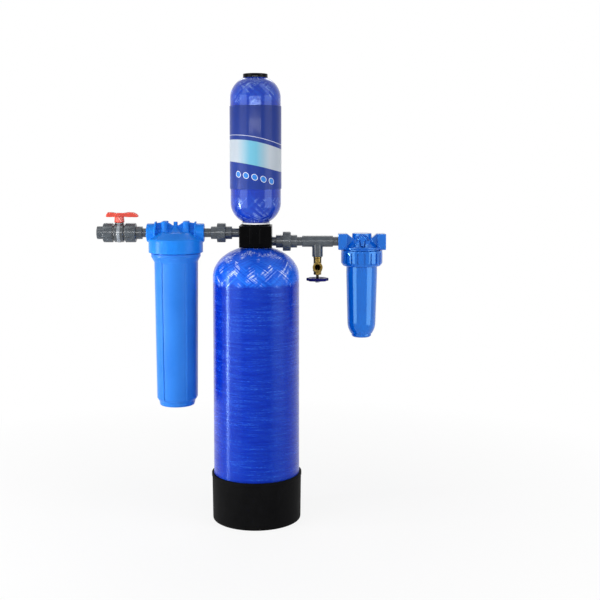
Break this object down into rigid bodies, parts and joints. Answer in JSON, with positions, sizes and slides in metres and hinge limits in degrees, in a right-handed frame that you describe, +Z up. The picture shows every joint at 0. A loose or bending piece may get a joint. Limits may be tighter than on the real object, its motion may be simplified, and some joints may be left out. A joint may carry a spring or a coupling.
{
  "type": "whole house water filter",
  "caption": "Whole house water filter: fibreglass main tank in a boot, upper tank on a manifold, shut-off valve, prefilter with long sump, drain tee and post filter.",
  "frame": {"origin": "on the floor, at the centre of the main tank's boot", "axes": "+Z up along the tanks' axis, +X along the pipes towards the post filter, front towards -Y"},
  "size_m": [0.8565, 0.2706, 1.331],
  "materials": {
    "boot": "matte moulded black",
    "moulded_black": "satin moulded black",
    "gloss_black": "gloss",
    "tank_fibreglass": "wound fibreglass under clear resin, deep blue",
    "upper_fibreglass": "wound fibreglass under clear resin, blue",
    "label_film": "printed film sleeve",
    "sump_blue": "satin moulded blue",
    "post_blue": "gloss moulded blue",
    "pvc_grey": "satin dark grey PVC",
    "handle_red": "satin orange-red",
    "brass": "polished cast brass",
    "wheel_navy": "gloss navy paint on cast metal",
    "steel": "plain steel",
    "rubber": "matte",
    "natural_plastic": "natural white",
    "cartridge": "wound polypropylene and pleated media",
    "carbon": "loose black granules",
    "gravel": "loose gravel"
  },
  "bodies": {
    "system": {"base_boot": "boot", "main_tank": "tank_fibreglass", "bottom_distributor": "natural_plastic", "gravel_bed": "gravel", "main_media_bed": "carbon", "main_riser_tube": "natural_plastic", "manifold_block": "moulded_black", "tank_neck_oring": "rubber", "neck_adapter": "natural_plastic", "upper_tank_shell": "upper_fibreglass", "upper_tank_label": "label_film", "upper_strainer": "natural_plastic", "upper_riser_tube": "natural_plastic", "upper_media_bed": "carbon", "upper_tank_cap": "gloss_black", "upper_cap_oring": "rubber", "manifold_inlet_nipple": "pvc_grey", "left_union_tail_half": "pvc_grey", "left_union_threaded_half": "pvc_grey", "left_union_oring": "rubber", "prefilter_outlet_nipple": "pvc_grey", "prefilter_inlet_nipple": "pvc_grey", "valve_outlet_connector": "pvc_grey", "inlet_end_connector": "pvc_grey", "valve_body": "pvc_grey", "valve_seat_left": "natural_plastic", "valve_seat_right": "natural_plastic", "valve_seat_carrier": "pvc_grey", "manifold_outlet_nipple": "pvc_grey", "right_union_threaded_half": "pvc_grey", "right_union_oring": "rubber", "right_union_tail_half": "pvc_grey", "tee_inlet_nipple": "pvc_grey", "tee_outlet_nipple": "pvc_grey", "prefilter_cap": "sump_blue", "drain_tee": "pvc_grey", "drain_valve_body": "brass", "drain_packing_nut": "brass", "postfilter_head": "post_blue"},
    "valve_key": {"valve_ball": "natural_plastic", "valve_stem": "pvc_grey", "stem_oring": "rubber", "valve_handle": "handle_red"},
    "inlet_union_nut": {"inlet_union_nut": "pvc_grey"},
    "outlet_union_nut": {"outlet_union_nut": "pvc_grey"},
    "left_union_nut": {"left_union_nut": "pvc_grey"},
    "right_union_nut": {"right_union_nut": "pvc_grey"},
    "prefilter_cartridge": {"prefilter_cartridge": "cartridge"},
    "prefilter_sump": {"prefilter_sump": "sump_blue", "sump_oring": "rubber"},
    "postfilter_bowl": {"postfilter_bowl": "post_blue", "postfilter_cartridge": "cartridge", "postfilter_oring": "rubber"},
    "postfilter_ring_nut": {"postfilter_ring_nut": "post_blue"},
    "drain_disc": {"drain_seat_disc": "rubber"},
    "drain_handwheel": {"drain_stem": "brass", "drain_handwheel": "wheel_navy", "handwheel_screw": "steel"}
  },
  "joints": [
    {"name": "valve_key_turn", "type": "hinge", "parent": "system", "child": "valve_key", "pos_m": [-0.4051, 0, 0.86404], "axis": [0, 0, -1], "range_deg": [0, 90]},
    {"name": "inlet_union_nut_turn", "type": "hinge", "parent": "system", "child": "inlet_union_nut", "pos_m": [-0.4382, 0, 0.86404], "axis": [-1, 0, 0], "range_deg": [0, 1080]},
    {"name": "outlet_union_nut_turn", "type": "hinge", "parent": "system", "child": "outlet_union_nut", "pos_m": [-0.37065, 0, 0.86404], "axis": [1, 0, 0], "range_deg": [0, 1080]},
    {"name": "left_union_nut_turn", "type": "hinge", "parent": "system", "child": "left_union_nut", "pos_m": [-0.10185, 0, 0.86404], "axis": [1, 0, 0], "range_deg": [0, 1080]},
    {"name": "right_union_nut_turn", "type": "hinge", "parent": "system", "child": "right_union_nut", "pos_m": [0.0919, 0, 0.83854], "axis": [1, 0, 0], "range_deg": [0, 1080]},
    {"name": "prefilter_drop", "type": "slide", "parent": "system", "child": "prefilter_cartridge", "axis": [0, 0, -1], "range_m": [0, 0.0241]},
    {"name": "prefilter_sump_turn", "type": "hinge", "parent": "prefilter_cartridge", "child": "prefilter_sump", "pos_m": [-0.23825, 0, 0.6], "axis": [0, 0, -1], "range_deg": [0, 1440]},
    {"name": "postfilter_drop", "type": "slide", "parent": "system", "child": "postfilter_bowl", "axis": [0, 0, -1], "range_m": [0, 0.0126]},
    {"name": "postfilter_ring_turn", "type": "hinge", "parent": "postfilter_bowl", "child": "postfilter_ring_nut", "pos_m": [0.31475, 0, 0.784], "axis": [0, 0, -1], "range_deg": [0, 900]},
    {"name": "drain_disc_drop", "type": "slide", "parent": "system", "child": "drain_disc", "axis": [0, 0, -1], "range_m": [0, 0.0081]},
    {"name": "drain_wheel_turn", "type": "hinge", "parent": "drain_disc", "child": "drain_handwheel", "pos_m": [0.183, 0, 0.724], "axis": [0, 0, -1], "range_deg": [0, 1440]}
  ],
  "couplings": [
    {"joint": "prefilter_drop", "follows": "prefilter_sump_turn", "m_per_rad": 0.00095493},
    {"joint": "postfilter_drop", "follows": "postfilter_ring_turn", "m_per_rad": 0.00079577},
    {"joint": "drain_disc_drop", "follows": "drain_wheel_turn", "m_per_rad": 0.00031831}
  ]
}
